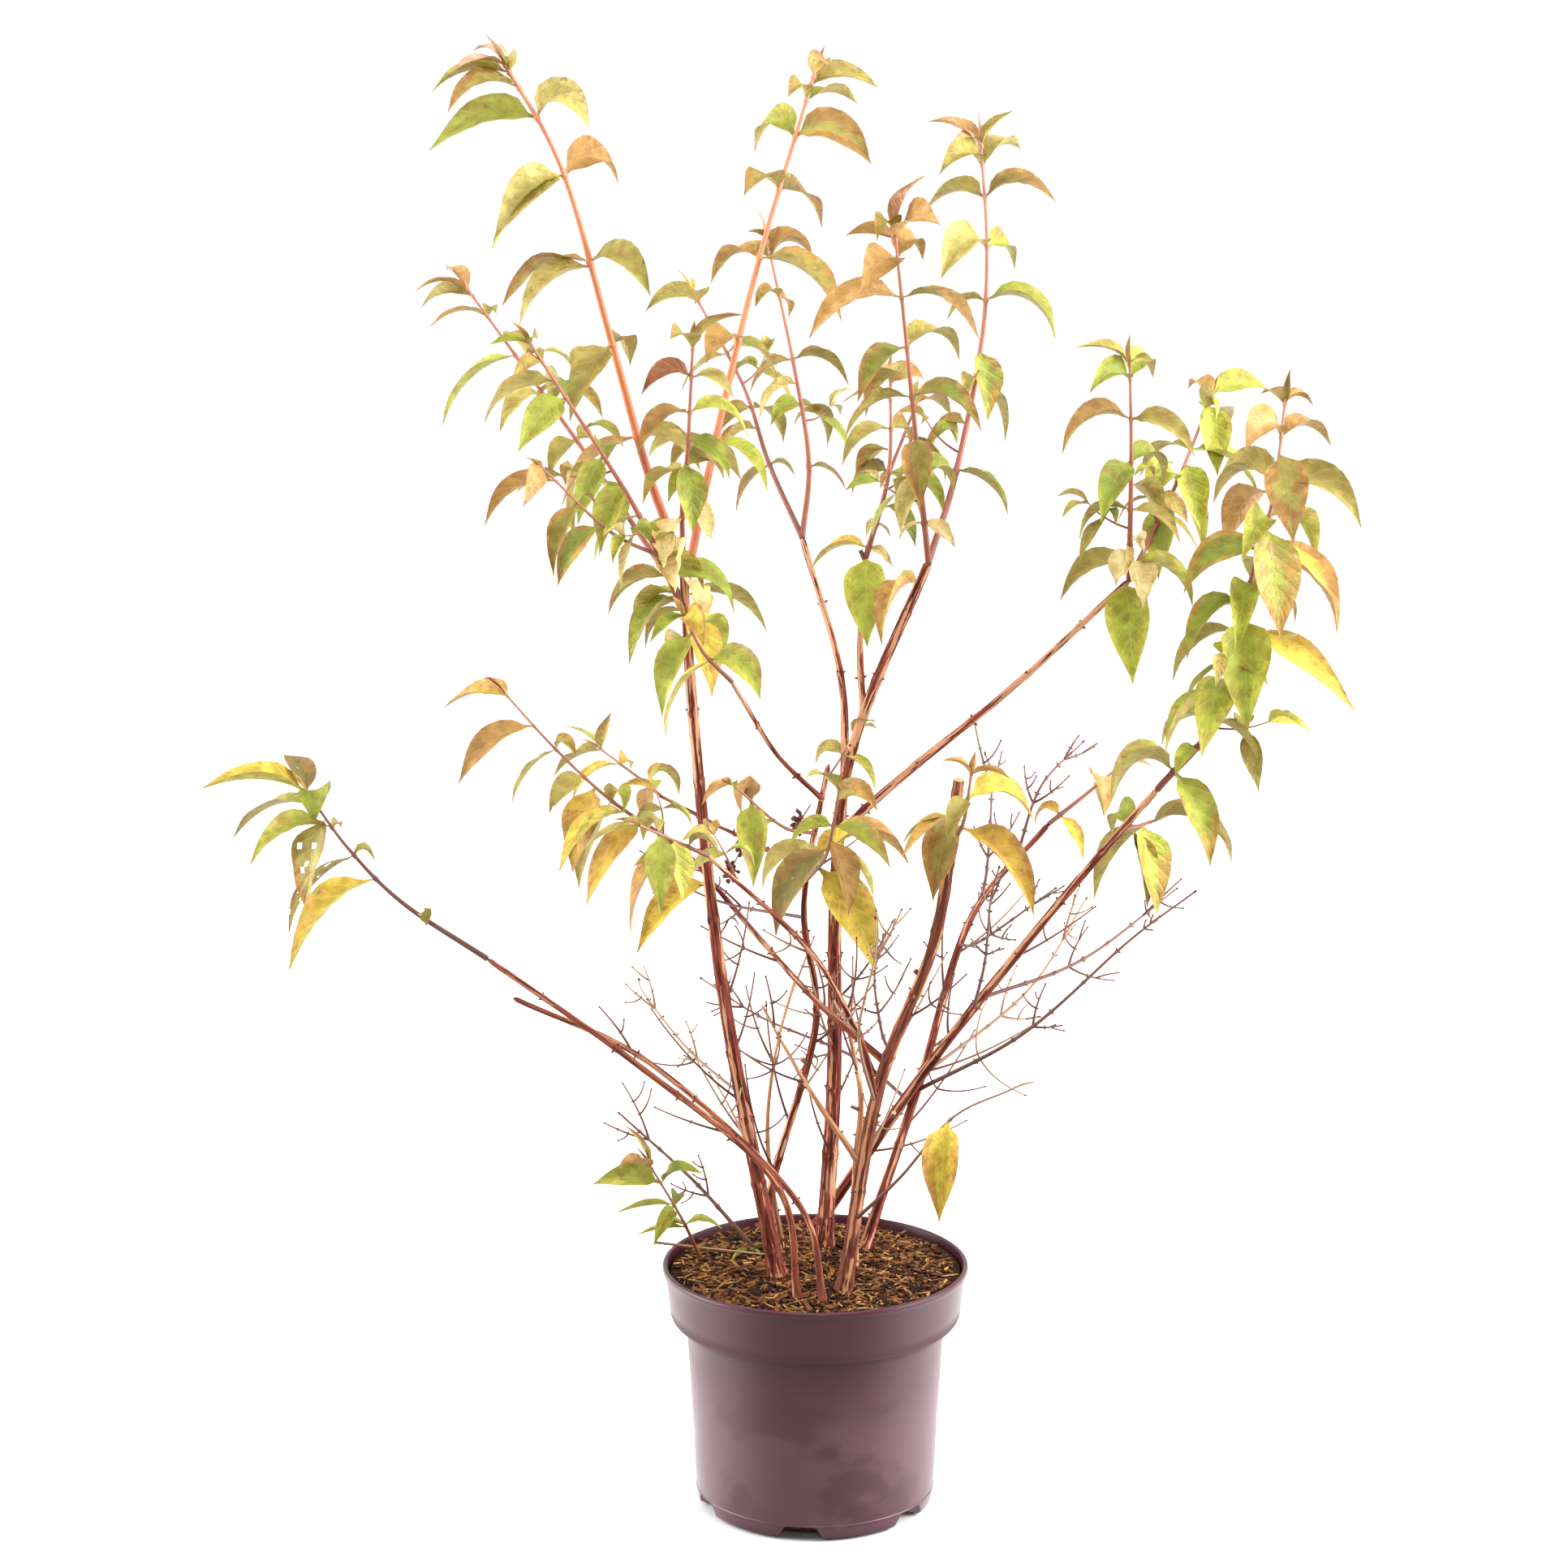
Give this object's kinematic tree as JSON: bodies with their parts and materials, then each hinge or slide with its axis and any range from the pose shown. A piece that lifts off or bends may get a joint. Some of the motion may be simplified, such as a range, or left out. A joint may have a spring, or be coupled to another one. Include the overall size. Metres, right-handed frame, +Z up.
{
  "type": "potted strawberry fields deutzia",
  "caption": "Open, upright flowering shrub with paired autumn-tinted leaves on arching canes and bare twigs, standing in a round plastic nursery pot.",
  "frame": {"origin": "centre of the pot's flat underside", "axes": "+Z up, -Y towards the front of the plant, +X to its right"},
  "size_m": [0.8149, 0.5369, 1.0966],
  "materials": {
    "pot": "semi-matt plum-taupe moulded plastic",
    "compost": "rough chipped bark and peat",
    "bark": "fibrous shredding bark, red-brown to tan",
    "foliage": "thin matt leaves, green, yellow, olive and bronze",
    "bare_twig": "dry pale bark"
  },
  "bodies": {
    "root": {"pot": "pot", "soil": "compost", "cane_left": "bark", "cane_centre": "bark", "cane_right": "bark", "cane_right_inner": "bark", "cane_cut": "bark", "cane_slim": "bark", "cane_low_front": "bark", "cane_low_back": "bark", "cane_grey": "bark", "cane_tan": "bark", "bough_back": "bark", "bough_centre": "bark", "bough_right": "bark", "bough_left_low": "bark", "bough_mid_left": "bark", "bough_front_left": "bark", "bough_rear_left": "bark", "bough_grey": "bark", "shoot_tall_left": "foliage", "shoot_tall_middle": "foliage", "shoot_front_left": "foliage", "shoot_outer_left": "foliage", "shoot_short_left": "foliage", "shoot_thin_left": "foliage", "shoot_centre_left": "foliage", "shoot_centre_front": "foliage", "shoot_centre_tall": "foliage", "shoot_centre_low": "foliage", "shoot_twin": "foliage", "shoot_back_left": "foliage", "shoot_back": "foliage", "shoot_right_front": "foliage", "shoot_right_back": "foliage", "shoot_far_right": "foliage", "shoot_right_low": "foliage", "shoot_right_inner": "foliage", "shoot_cut": "foliage", "shoot_middle": "foliage", "shoot_low_left": "foliage", "shoot_mid_left": "foliage", "shoot_front_low": "foliage", "shoot_rear_left": "foliage", "shoot_middle_left": "foliage", "sprout_rim": "foliage", "twig_low_right": "foliage", "twig_low_left": "bare_twig", "twig_right_front": "bare_twig", "twig_right_long": "bare_twig", "twig_right_back": "bare_twig", "twig_right_upper": "bare_twig", "twig_inner_upright": "bare_twig", "twig_inner_back": "bare_twig", "twig_inner_top": "bare_twig", "twig_centre_front": "bare_twig", "twig_centre_back": "bare_twig", "twig_left_back": "bare_twig", "twig_left_side": "bare_twig", "twig_left_upper": "bare_twig"}
  },
  "joints": []
}
